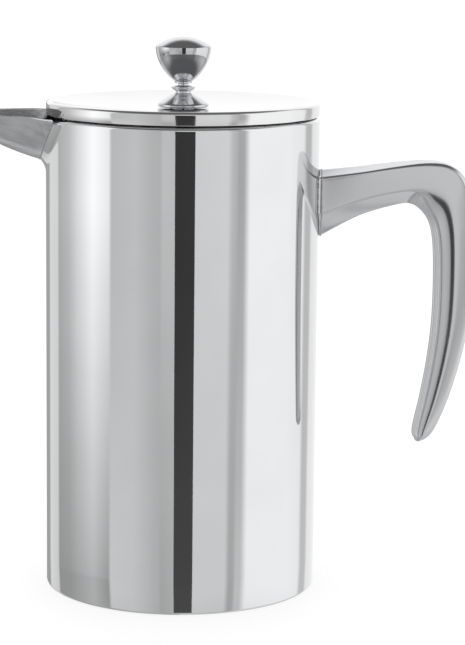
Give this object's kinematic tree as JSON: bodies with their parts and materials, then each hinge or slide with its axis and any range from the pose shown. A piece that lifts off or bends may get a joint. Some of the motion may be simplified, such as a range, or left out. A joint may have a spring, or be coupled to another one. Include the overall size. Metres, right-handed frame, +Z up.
{
  "type": "french press",
  "caption": "Double-wall polished steel french press with open spout, cantilevered handle, dished lid and a filter plunger on a rod with a goblet knob.",
  "frame": {"origin": "on the vessel's axis, on the surface that the base stands on", "axes": "+Z up along the vessel's axis, +X towards the handle, -X towards the spout, +Y to the side that completes a right-handed frame"},
  "size_m": [0.206, 0.108, 0.2191],
  "materials": {
    "mirror_steel": "mirror-polished stainless steel",
    "turned_steel": "turned and polished stainless steel",
    "handle_steel": "hand-polished cast stainless steel",
    "brushed_spout": "satin stainless steel, brushed along the spout",
    "satin_steel": "satin stainless steel",
    "spring_wire": "bright drawn steel wire",
    "woven_wire": "fine woven steel screen",
    "silicone": "matte silicone rubber",
    "bush_plastic": "waxy white plastic"
  },
  "bodies": {
    "vessel": {"outer_shell": "mirror_steel", "inner_vessel": "satin_steel", "base_plate": "satin_steel", "spout": "brushed_spout", "handle": "handle_steel"},
    "seal": {"lid_seal": "silicone"},
    "lid": {"lid_cover": "mirror_steel", "lid_liner": "satin_steel", "lid_ferrule": "turned_steel", "ferrule_washer": "satin_steel", "ferrule_nut": "satin_steel"},
    "bush": {"guide_bush": "bush_plastic"},
    "plunger": {"knob": "turned_steel", "plunger_rod": "turned_steel", "rod_collar": "satin_steel", "spring_plate": "satin_steel", "coil_spring": "spring_wire", "mesh_screen": "woven_wire", "cross_plate": "satin_steel", "hub_nut": "satin_steel"}
  },
  "joints": [
    {"name": "lid_lift", "type": "slide", "parent": "vessel", "child": "seal", "axis": [0, 0, 1], "range_m": [0, 0.2]},
    {"name": "lid_turn", "type": "hinge", "parent": "seal", "child": "lid", "pos_m": [0, 0, 0.19], "axis": [0, 0, 1], "continuous": true},
    {"name": "plunger_turn", "type": "hinge", "parent": "lid", "child": "bush", "pos_m": [0, 0, 0.186], "axis": [0, 0, 1], "continuous": true},
    {"name": "plunger_slide", "type": "slide", "parent": "bush", "child": "plunger", "axis": [0, 0, 1], "range_m": [0, 0.15]}
  ]
}
